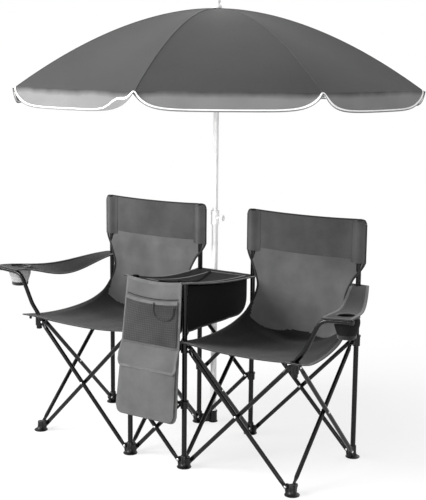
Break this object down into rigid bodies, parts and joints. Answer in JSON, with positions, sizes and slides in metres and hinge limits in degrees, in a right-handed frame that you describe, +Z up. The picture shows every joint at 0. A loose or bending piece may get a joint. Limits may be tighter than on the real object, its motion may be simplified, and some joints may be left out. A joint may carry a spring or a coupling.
{
  "type": "folding camping loveseat",
  "caption": "Two folding sling chairs joined by a middle table with cooler and organizer, under one umbrella.",
  "frame": {"origin": "on the floor, under the middle of the whole with its umbrella", "axes": "+X from the left chair to the right one as seen from the front, +Y from front to back, +Z up"},
  "size_m": [1.6588, 1.5704, 1.7018],
  "materials": {
    "frame_tube": "black powder coat, satin",
    "moulding": "black moulded nylon",
    "seat_fabric": "dark grey woven polyester",
    "cooler_fabric": "black coated lining cloth",
    "organizer_fabric": "mid grey woven polyester and net",
    "canopy_fabric": "dark grey canopy cloth with a paler valance",
    "pole": "white gloss paint",
    "pole_moulding": "white moulded plastic"
  },
  "bodies": {
    "frame_root": {"left_rear_inner_post_and_foot": "moulding", "umbrella_lower_pole": "pole", "pole_clamp": "pole_moulding", "table_top": "seat_fabric", "cooler_bag": "cooler_fabric", "left_seat_sling": "seat_fabric"},
    "left_rear_tube_from_inner_foot": {"left_rear_tube_from_inner_foot": "frame_tube"},
    "left_rear_outer_bracket": {"left_rear_outer_bracket": "moulding"},
    "left_rear_tube_from_outer_foot": {"left_rear_tube_from_outer_foot": "frame_tube"},
    "left_rear_inner_bracket": {"left_rear_inner_bracket": "moulding"},
    "left_rear_outer_post": {"left_rear_outer_post_and_foot": "moulding", "left_armrest": "seat_fabric"},
    "left_outer_side_tube_from_rear_foot": {"left_outer_side_tube_from_rear_foot": "frame_tube"},
    "left_front_outer_bracket": {"left_front_outer_arm_tube_and_bracket": "frame_tube"},
    "left_outer_side_tube_from_front_foot": {"left_outer_side_tube_from_front_foot": "frame_tube"},
    "left_front_outer_foot": {"left_front_outer_foot": "moulding"},
    "left_inner_side_tube_from_rear_foot": {"left_inner_side_tube_from_rear_foot": "frame_tube"},
    "left_front_inner_bracket": {"left_front_inner_bracket": "moulding"},
    "left_inner_side_tube_from_front_foot": {"left_inner_side_tube_from_front_foot": "frame_tube"},
    "left_front_inner_post": {"left_front_inner_post_and_foot": "moulding", "organizer": "organizer_fabric"},
    "left_front_tube_from_inner_foot": {"left_front_tube_from_inner_foot": "frame_tube"},
    "left_front_tube_from_outer_foot": {"left_front_tube_from_outer_foot": "frame_tube"},
    "middle_front_lower_tube_left": {"middle_front_lower_tube_left": "frame_tube"},
    "right_front_inner_middle_bracket": {"right_front_inner_middle_bracket": "moulding"},
    "middle_front_upper_tube_right": {"middle_front_upper_tube_right": "frame_tube"},
    "middle_front_lower_tube_right": {"middle_front_lower_tube_right": "frame_tube"},
    "left_front_inner_middle_bracket": {"left_front_inner_middle_bracket": "moulding"},
    "middle_front_upper_tube_left": {"middle_front_upper_tube_left": "frame_tube"},
    "middle_rear_lower_tube_left": {"middle_rear_lower_tube_left": "frame_tube"},
    "right_rear_inner_middle_bracket": {"right_rear_inner_middle_bracket": "moulding"},
    "middle_rear_upper_tube_right": {"middle_rear_upper_tube_right": "frame_tube"},
    "middle_rear_lower_tube_right": {"middle_rear_lower_tube_right": "frame_tube"},
    "left_rear_inner_middle_bracket": {"left_rear_inner_middle_bracket": "moulding"},
    "middle_rear_upper_tube_left": {"middle_rear_upper_tube_left": "frame_tube"},
    "right_rear_inner_post": {"right_rear_inner_post_and_foot": "moulding", "right_seat_sling": "seat_fabric"},
    "right_rear_tube_from_inner_foot": {"right_rear_tube_from_inner_foot": "frame_tube"},
    "right_rear_outer_bracket": {"right_rear_outer_bracket": "moulding"},
    "right_rear_tube_from_outer_foot": {"right_rear_tube_from_outer_foot": "frame_tube"},
    "right_rear_inner_bracket": {"right_rear_inner_bracket": "moulding"},
    "right_rear_outer_post": {"right_rear_outer_post_and_foot": "moulding", "right_armrest": "seat_fabric"},
    "right_outer_side_tube_from_rear_foot": {"right_outer_side_tube_from_rear_foot": "frame_tube"},
    "right_front_outer_bracket": {"right_front_outer_arm_tube_and_bracket": "frame_tube"},
    "right_outer_side_tube_from_front_foot": {"right_outer_side_tube_from_front_foot": "frame_tube"},
    "right_front_outer_foot": {"right_front_outer_foot": "moulding"},
    "right_inner_side_tube_from_rear_foot": {"right_inner_side_tube_from_rear_foot": "frame_tube"},
    "right_front_inner_bracket": {"right_front_inner_bracket": "moulding"},
    "right_inner_side_tube_from_front_foot": {"right_inner_side_tube_from_front_foot": "frame_tube"},
    "right_front_inner_post": {"right_front_inner_post_and_foot": "moulding"},
    "right_front_tube_from_inner_foot": {"right_front_tube_from_inner_foot": "frame_tube"},
    "right_front_tube_from_outer_foot": {"right_front_tube_from_outer_foot": "frame_tube"},
    "cooler_lid": {"cooler_lid": "seat_fabric"},
    "organizer_flap": {"organizer_flap": "organizer_fabric"},
    "umbrella_top": {"umbrella_upper_pole": "pole", "umbrella_canopy": "canopy_fabric", "umbrella_crown_and_ribs": "pole", "umbrella_runner_and_stretchers": "pole_moulding"},
    "clamp_knob": {"clamp_knob": "pole_moulding"}
  },
  "joints": [
    {"name": "frame_fold", "type": "hinge", "parent": "frame_root", "child": "left_rear_tube_from_inner_foot", "pos_m": [-0.11119, -0.0453, 0.028], "axis": [0, 1, 0], "range_deg": [0, 34.5], "deforming": ["left_seat_sling", "right_seat_sling", "left_armrest", "right_armrest", "table_top", "cooler_lid", "cooler_bag", "organizer", "organizer_flap"]},
    {"name": "left_rear_outer_bracket_turn", "type": "hinge", "parent": "left_rear_tube_from_inner_foot", "child": "left_rear_outer_bracket", "pos_m": [-0.52319, -0.0453, 0.45], "axis": [0, -1, 0], "range_deg": [-0.5, 35]},
    {"name": "left_rear_tube_from_outer_foot_turn", "type": "hinge", "parent": "left_rear_tube_from_inner_foot", "child": "left_rear_tube_from_outer_foot", "pos_m": [-0.31719, -0.037, 0.239], "axis": [0, -1, 0], "range_deg": [-1, 70]},
    {"name": "left_rear_inner_bracket_turn", "type": "hinge", "parent": "left_rear_tube_from_outer_foot", "child": "left_rear_inner_bracket", "pos_m": [-0.11119, -0.0287, 0.45], "axis": [0, 1, 0], "range_deg": [-0.5, 35]},
    {"name": "left_rear_outer_post_turn", "type": "hinge", "parent": "left_rear_tube_from_outer_foot", "child": "left_rear_outer_post", "pos_m": [-0.52319, -0.0287, 0.028], "axis": [0, 1, 0], "range_deg": [-0.5, 35]},
    {"name": "left_outer_side_tube_from_rear_foot_turn", "type": "hinge", "parent": "left_rear_outer_post", "child": "left_outer_side_tube_from_rear_foot", "pos_m": [-0.53689, -0.059, 0.028], "axis": [-1, 0, 0], "range_deg": [-0.5, 35]},
    {"name": "left_front_outer_bracket_turn", "type": "hinge", "parent": "left_outer_side_tube_from_rear_foot", "child": "left_front_outer_bracket", "pos_m": [-0.53689, -0.471, 0.45], "axis": [1, 0, 0], "range_deg": [-0.5, 35]},
    {"name": "left_outer_side_tube_from_front_foot_turn", "type": "hinge", "parent": "left_outer_side_tube_from_rear_foot", "child": "left_outer_side_tube_from_front_foot", "pos_m": [-0.54519, -0.265, 0.239], "axis": [1, 0, 0], "range_deg": [-1, 70]},
    {"name": "left_front_outer_foot_turn", "type": "hinge", "parent": "left_outer_side_tube_from_front_foot", "child": "left_front_outer_foot", "pos_m": [-0.55349, -0.471, 0.028], "axis": [-1, 0, 0], "range_deg": [-0.5, 35]},
    {"name": "left_inner_side_tube_from_rear_foot_turn", "type": "hinge", "parent": "frame_root", "child": "left_inner_side_tube_from_rear_foot", "pos_m": [-0.08089, -0.059, 0.028], "axis": [-1, 0, 0], "range_deg": [-0.5, 35]},
    {"name": "left_front_inner_bracket_turn", "type": "hinge", "parent": "left_inner_side_tube_from_rear_foot", "child": "left_front_inner_bracket", "pos_m": [-0.08089, -0.471, 0.45], "axis": [1, 0, 0], "range_deg": [-0.5, 35]},
    {"name": "left_inner_side_tube_from_front_foot_turn", "type": "hinge", "parent": "left_inner_side_tube_from_rear_foot", "child": "left_inner_side_tube_from_front_foot", "pos_m": [-0.08919, -0.265, 0.239], "axis": [1, 0, 0], "range_deg": [-1, 70]},
    {"name": "left_front_inner_post_turn", "type": "hinge", "parent": "left_inner_side_tube_from_front_foot", "child": "left_front_inner_post", "pos_m": [-0.09749, -0.471, 0.028], "axis": [-1, 0, 0], "range_deg": [-0.5, 35]},
    {"name": "left_front_tube_from_inner_foot_turn", "type": "hinge", "parent": "left_front_inner_post", "child": "left_front_tube_from_inner_foot", "pos_m": [-0.11119, -0.5013, 0.028], "axis": [0, 1, 0], "range_deg": [-0.5, 35]},
    {"name": "left_front_tube_from_outer_foot_turn", "type": "hinge", "parent": "left_front_tube_from_inner_foot", "child": "left_front_tube_from_outer_foot", "pos_m": [-0.31719, -0.493, 0.239], "axis": [0, -1, 0], "range_deg": [-1, 70]},
    {"name": "middle_front_lower_tube_left_turn", "type": "hinge", "parent": "left_front_inner_post", "child": "middle_front_lower_tube_left", "pos_m": [-0.06719, -0.4847, 0.028], "axis": [0, -1, 0], "range_deg": [-0.5, 35]},
    {"name": "right_front_inner_middle_bracket_turn", "type": "hinge", "parent": "middle_front_lower_tube_left", "child": "right_front_inner_middle_bracket", "pos_m": [0.13881, -0.4847, 0.239], "axis": [0, 1, 0], "range_deg": [-0.5, 35]},
    {"name": "middle_front_upper_tube_right_turn", "type": "hinge", "parent": "middle_front_lower_tube_left", "child": "middle_front_upper_tube_right", "pos_m": [0.13881, -0.5013, 0.239], "axis": [0, 1, 0], "range_deg": [-1, 70]},
    {"name": "middle_front_lower_tube_right_turn", "type": "hinge", "parent": "middle_front_lower_tube_left", "child": "middle_front_lower_tube_right", "pos_m": [0.03581, -0.493, 0.1335], "axis": [0, 1, 0], "range_deg": [-1, 70]},
    {"name": "left_front_inner_middle_bracket_turn", "type": "hinge", "parent": "middle_front_lower_tube_right", "child": "left_front_inner_middle_bracket", "pos_m": [-0.06719, -0.5013, 0.239], "axis": [0, -1, 0], "range_deg": [-0.5, 35]},
    {"name": "middle_front_upper_tube_left_turn", "type": "hinge", "parent": "middle_front_lower_tube_right", "child": "middle_front_upper_tube_left", "pos_m": [-0.06719, -0.4847, 0.239], "axis": [0, -1, 0], "range_deg": [-1, 70]},
    {"name": "middle_rear_lower_tube_left_turn", "type": "hinge", "parent": "frame_root", "child": "middle_rear_lower_tube_left", "pos_m": [-0.06719, -0.0287, 0.028], "axis": [0, -1, 0], "range_deg": [-0.5, 35]},
    {"name": "right_rear_inner_middle_bracket_turn", "type": "hinge", "parent": "middle_rear_lower_tube_left", "child": "right_rear_inner_middle_bracket", "pos_m": [0.13881, -0.0287, 0.239], "axis": [0, 1, 0], "range_deg": [-0.5, 35]},
    {"name": "middle_rear_upper_tube_right_turn", "type": "hinge", "parent": "middle_rear_lower_tube_left", "child": "middle_rear_upper_tube_right", "pos_m": [0.13881, -0.0453, 0.239], "axis": [0, 1, 0], "range_deg": [-1, 70]},
    {"name": "middle_rear_lower_tube_right_turn", "type": "hinge", "parent": "middle_rear_lower_tube_left", "child": "middle_rear_lower_tube_right", "pos_m": [0.03581, -0.037, 0.1335], "axis": [0, 1, 0], "range_deg": [-1, 70]},
    {"name": "left_rear_inner_middle_bracket_turn", "type": "hinge", "parent": "middle_rear_lower_tube_right", "child": "left_rear_inner_middle_bracket", "pos_m": [-0.06719, -0.0453, 0.239], "axis": [0, -1, 0], "range_deg": [-0.5, 35]},
    {"name": "middle_rear_upper_tube_left_turn", "type": "hinge", "parent": "middle_rear_lower_tube_right", "child": "middle_rear_upper_tube_left", "pos_m": [-0.06719, -0.0287, 0.239], "axis": [0, -1, 0], "range_deg": [-1, 70]},
    {"name": "right_rear_inner_post_turn", "type": "hinge", "parent": "middle_rear_lower_tube_right", "child": "right_rear_inner_post", "pos_m": [0.13881, -0.0453, 0.028], "axis": [0, -1, 0], "range_deg": [-0.5, 35]},
    {"name": "right_rear_tube_from_inner_foot_turn", "type": "hinge", "parent": "right_rear_inner_post", "child": "right_rear_tube_from_inner_foot", "pos_m": [0.18281, -0.0287, 0.028], "axis": [0, -1, 0], "range_deg": [-0.5, 35]},
    {"name": "right_rear_outer_bracket_turn", "type": "hinge", "parent": "right_rear_tube_from_inner_foot", "child": "right_rear_outer_bracket", "pos_m": [0.59481, -0.0287, 0.45], "axis": [0, 1, 0], "range_deg": [-0.5, 35]},
    {"name": "right_rear_tube_from_outer_foot_turn", "type": "hinge", "parent": "right_rear_tube_from_inner_foot", "child": "right_rear_tube_from_outer_foot", "pos_m": [0.38881, -0.037, 0.239], "axis": [0, 1, 0], "range_deg": [-1, 70]},
    {"name": "right_rear_inner_bracket_turn", "type": "hinge", "parent": "right_rear_tube_from_outer_foot", "child": "right_rear_inner_bracket", "pos_m": [0.18281, -0.0453, 0.45], "axis": [0, -1, 0], "range_deg": [-0.5, 35]},
    {"name": "right_rear_outer_post_turn", "type": "hinge", "parent": "right_rear_tube_from_outer_foot", "child": "right_rear_outer_post", "pos_m": [0.59481, -0.0453, 0.028], "axis": [0, -1, 0], "range_deg": [-0.5, 35]},
    {"name": "right_outer_side_tube_from_rear_foot_turn", "type": "hinge", "parent": "right_rear_outer_post", "child": "right_outer_side_tube_from_rear_foot", "pos_m": [0.62511, -0.059, 0.028], "axis": [-1, 0, 0], "range_deg": [-0.5, 35]},
    {"name": "right_front_outer_bracket_turn", "type": "hinge", "parent": "right_outer_side_tube_from_rear_foot", "child": "right_front_outer_bracket", "pos_m": [0.62511, -0.471, 0.45], "axis": [1, 0, 0], "range_deg": [-0.5, 35]},
    {"name": "right_outer_side_tube_from_front_foot_turn", "type": "hinge", "parent": "right_outer_side_tube_from_rear_foot", "child": "right_outer_side_tube_from_front_foot", "pos_m": [0.61681, -0.265, 0.239], "axis": [1, 0, 0], "range_deg": [-1, 70]},
    {"name": "right_front_outer_foot_turn", "type": "hinge", "parent": "right_outer_side_tube_from_front_foot", "child": "right_front_outer_foot", "pos_m": [0.60851, -0.471, 0.028], "axis": [-1, 0, 0], "range_deg": [-0.5, 35]},
    {"name": "right_inner_side_tube_from_rear_foot_turn", "type": "hinge", "parent": "right_rear_inner_post", "child": "right_inner_side_tube_from_rear_foot", "pos_m": [0.16911, -0.059, 0.028], "axis": [-1, 0, 0], "range_deg": [-0.5, 35]},
    {"name": "right_front_inner_bracket_turn", "type": "hinge", "parent": "right_inner_side_tube_from_rear_foot", "child": "right_front_inner_bracket", "pos_m": [0.16911, -0.471, 0.45], "axis": [1, 0, 0], "range_deg": [-0.5, 35]},
    {"name": "right_inner_side_tube_from_front_foot_turn", "type": "hinge", "parent": "right_inner_side_tube_from_rear_foot", "child": "right_inner_side_tube_from_front_foot", "pos_m": [0.16081, -0.265, 0.239], "axis": [1, 0, 0], "range_deg": [-1, 70]},
    {"name": "right_front_inner_post_turn", "type": "hinge", "parent": "right_inner_side_tube_from_front_foot", "child": "right_front_inner_post", "pos_m": [0.15251, -0.471, 0.028], "axis": [-1, 0, 0], "range_deg": [-0.5, 35]},
    {"name": "right_front_tube_from_inner_foot_turn", "type": "hinge", "parent": "right_front_inner_post", "child": "right_front_tube_from_inner_foot", "pos_m": [0.18281, -0.4847, 0.028], "axis": [0, -1, 0], "range_deg": [-0.5, 35]},
    {"name": "right_front_tube_from_outer_foot_turn", "type": "hinge", "parent": "right_front_tube_from_inner_foot", "child": "right_front_tube_from_outer_foot", "pos_m": [0.38881, -0.493, 0.239], "axis": [0, 1, 0], "range_deg": [-1, 70]},
    {"name": "cooler_lid_hinge", "type": "hinge", "parent": "frame_root", "child": "cooler_lid", "pos_m": [0.14461, -0.269, 0.65841], "axis": [0, 0.9979, -0.0641], "range_deg": [0, 100]},
    {"name": "organizer_flap_hinge", "type": "hinge", "parent": "left_front_inner_post", "child": "organizer_flap", "pos_m": [0.03581, -0.5375, 0.44], "axis": [-1, 0, 0], "range_deg": [0, 120]},
    {"name": "umbrella_height_slide", "type": "slide", "parent": "frame_root", "child": "umbrella_top", "axis": [0, 0, 1], "range_m": [-0.35, 0]},
    {"name": "clamp_knob_turn", "type": "hinge", "parent": "frame_root", "child": "clamp_knob", "pos_m": [-0.02319, 0, 0.8508], "axis": [1, 0, 0], "range_deg": [0, 360]}
  ],
  "couplings": [
    {"joint": "left_rear_outer_bracket_turn", "follows": "frame_fold", "ratio": 1},
    {"joint": "left_rear_tube_from_outer_foot_turn", "follows": "frame_fold", "ratio": 2},
    {"joint": "left_rear_inner_bracket_turn", "follows": "frame_fold", "ratio": 1},
    {"joint": "left_rear_outer_post_turn", "follows": "frame_fold", "ratio": 1},
    {"joint": "left_outer_side_tube_from_rear_foot_turn", "follows": "frame_fold", "ratio": 1},
    {"joint": "left_front_outer_bracket_turn", "follows": "frame_fold", "ratio": 1},
    {"joint": "left_outer_side_tube_from_front_foot_turn", "follows": "frame_fold", "ratio": 2},
    {"joint": "left_front_outer_foot_turn", "follows": "frame_fold", "ratio": 1},
    {"joint": "left_inner_side_tube_from_rear_foot_turn", "follows": "frame_fold", "ratio": 1},
    {"joint": "left_front_inner_bracket_turn", "follows": "frame_fold", "ratio": 1},
    {"joint": "left_inner_side_tube_from_front_foot_turn", "follows": "frame_fold", "ratio": 2},
    {"joint": "left_front_inner_post_turn", "follows": "frame_fold", "ratio": 1},
    {"joint": "left_front_tube_from_inner_foot_turn", "follows": "frame_fold", "ratio": 1},
    {"joint": "left_front_tube_from_outer_foot_turn", "follows": "frame_fold", "ratio": 2},
    {"joint": "middle_front_lower_tube_left_turn", "follows": "frame_fold", "ratio": 1},
    {"joint": "right_front_inner_middle_bracket_turn", "follows": "frame_fold", "ratio": 1},
    {"joint": "middle_front_upper_tube_right_turn", "follows": "frame_fold", "ratio": 2},
    {"joint": "middle_front_lower_tube_right_turn", "follows": "frame_fold", "ratio": 2},
    {"joint": "left_front_inner_middle_bracket_turn", "follows": "frame_fold", "ratio": 1},
    {"joint": "middle_front_upper_tube_left_turn", "follows": "frame_fold", "ratio": 2},
    {"joint": "middle_rear_lower_tube_left_turn", "follows": "frame_fold", "ratio": 1},
    {"joint": "right_rear_inner_middle_bracket_turn", "follows": "frame_fold", "ratio": 1},
    {"joint": "middle_rear_upper_tube_right_turn", "follows": "frame_fold", "ratio": 2},
    {"joint": "middle_rear_lower_tube_right_turn", "follows": "frame_fold", "ratio": 2},
    {"joint": "left_rear_inner_middle_bracket_turn", "follows": "frame_fold", "ratio": 1},
    {"joint": "middle_rear_upper_tube_left_turn", "follows": "frame_fold", "ratio": 2},
    {"joint": "right_rear_inner_post_turn", "follows": "frame_fold", "ratio": 1},
    {"joint": "right_rear_tube_from_inner_foot_turn", "follows": "frame_fold", "ratio": 1},
    {"joint": "right_rear_outer_bracket_turn", "follows": "frame_fold", "ratio": 1},
    {"joint": "right_rear_tube_from_outer_foot_turn", "follows": "frame_fold", "ratio": 2},
    {"joint": "right_rear_inner_bracket_turn", "follows": "frame_fold", "ratio": 1},
    {"joint": "right_rear_outer_post_turn", "follows": "frame_fold", "ratio": 1},
    {"joint": "right_outer_side_tube_from_rear_foot_turn", "follows": "frame_fold", "ratio": 1},
    {"joint": "right_front_outer_bracket_turn", "follows": "frame_fold", "ratio": 1},
    {"joint": "right_outer_side_tube_from_front_foot_turn", "follows": "frame_fold", "ratio": 2},
    {"joint": "right_front_outer_foot_turn", "follows": "frame_fold", "ratio": 1},
    {"joint": "right_inner_side_tube_from_rear_foot_turn", "follows": "frame_fold", "ratio": 1},
    {"joint": "right_front_inner_bracket_turn", "follows": "frame_fold", "ratio": 1},
    {"joint": "right_inner_side_tube_from_front_foot_turn", "follows": "frame_fold", "ratio": 2},
    {"joint": "right_front_inner_post_turn", "follows": "frame_fold", "ratio": 1},
    {"joint": "right_front_tube_from_inner_foot_turn", "follows": "frame_fold", "ratio": 1},
    {"joint": "right_front_tube_from_outer_foot_turn", "follows": "frame_fold", "ratio": 2}
  ]
}
